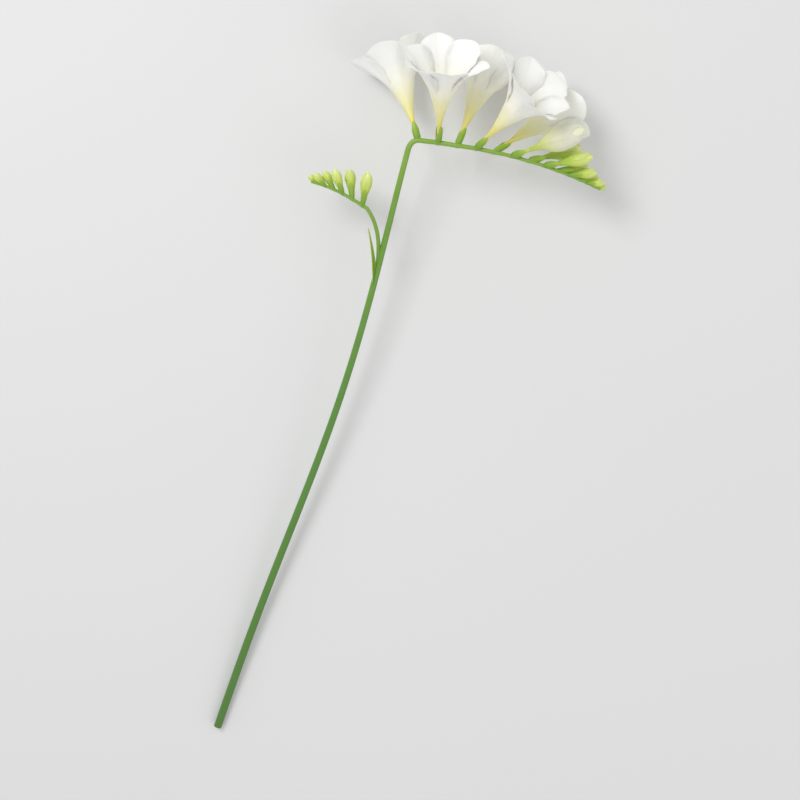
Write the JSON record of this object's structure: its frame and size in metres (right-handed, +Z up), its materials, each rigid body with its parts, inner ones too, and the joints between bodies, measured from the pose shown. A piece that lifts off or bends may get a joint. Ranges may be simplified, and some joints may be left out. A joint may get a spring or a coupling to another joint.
{
  "type": "freesia stem",
  "caption": "Cut freesia stem lying on its side: a slender green stem bent under a comb of white funnel-shaped flowers that end in green buds, with a side shoot of buds",
  "frame": {"origin": "Middle of the footprint, on the surface that the stem lies on", "axes": "+Y runs along the stem from its cut end to the flowers, +X is the way the comb of flowers runs from the bend to its tip, +Z is up from the surface"},
  "size_m": [0.1601, 0.449, 0.0806],
  "materials": {
    "stem_green": "smooth waxy mid green plant stem, bracts and small buds",
    "petal_white": "satin white petal, creamy towards the tube and yellow-green at its foot",
    "stamen_cream": "matt cream pollen on thin pale filaments",
    "bud_cream": "satin cream bud, yellow-green at its foot",
    "bud_lime": "satin lime green bud"
  },
  "bodies": {
    "root": {"stem": "stem_green", "flower_1": "petal_white", "flower_2": "petal_white", "flower_3": "petal_white", "flower_4": "petal_white", "flower_5": "petal_white", "stamens_1": "stamen_cream", "stamens_2": "stamen_cream", "stamens_3": "stamen_cream", "stamens_4": "stamen_cream", "stamens_5": "stamen_cream", "bud_1": "bud_cream", "bud_2": "bud_lime", "bud_3": "bud_lime"}
  },
  "joints": []
}
